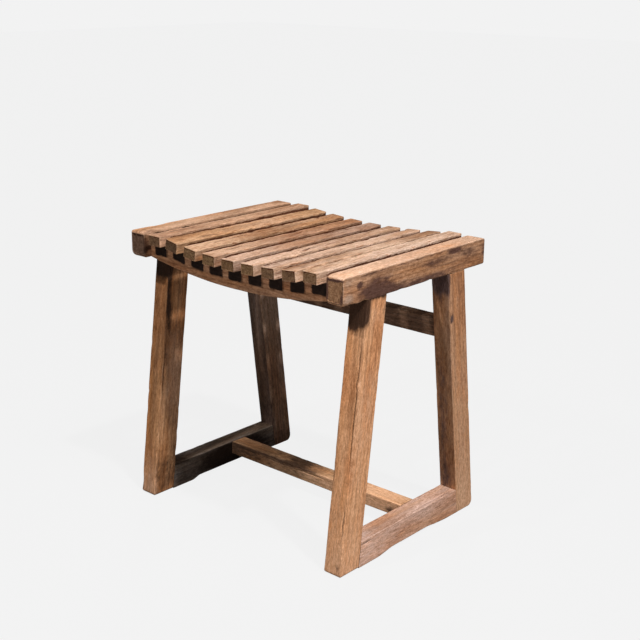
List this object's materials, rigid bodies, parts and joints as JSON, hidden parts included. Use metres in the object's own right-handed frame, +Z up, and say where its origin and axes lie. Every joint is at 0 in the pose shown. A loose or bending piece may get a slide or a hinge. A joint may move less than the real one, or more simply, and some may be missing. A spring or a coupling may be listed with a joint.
{
  "type": "box stool",
  "caption": "Low slatted teak stool: a dished seat of slats on curved rails, between two end frames with leaning legs.",
  "frame": {"origin": "on the floor, under the middle of the seat", "axes": "+Z up, +X to the right along the seat's length, +Y towards the back, where the upper stretcher is"},
  "size_m": [0.4396, 0.3432, 0.45],
  "materials": {
    "slat_teak": "worn oiled teak, fine straight grain",
    "frame_teak": "worn oiled teak, darker and stained in places",
    "screw_steel": "dull steel"
  },
  "bodies": {
    "root": {"left_end_rail": "frame_teak", "right_end_rail": "frame_teak", "front_left_leg": "frame_teak", "back_left_leg": "frame_teak", "front_right_leg": "frame_teak", "back_right_leg": "frame_teak", "left_bottom_rail": "frame_teak", "right_bottom_rail": "frame_teak", "low_stretcher": "frame_teak", "back_stretcher": "frame_teak", "front_seat_rail": "frame_teak", "back_seat_rail": "frame_teak", "slat_1": "slat_teak", "slat_2": "slat_teak", "slat_3": "slat_teak", "slat_4": "slat_teak", "slat_5": "slat_teak", "slat_6": "slat_teak", "slat_7": "slat_teak", "slat_8": "slat_teak", "slat_9": "slat_teak", "slat_screws": "screw_steel"}
  },
  "joints": []
}
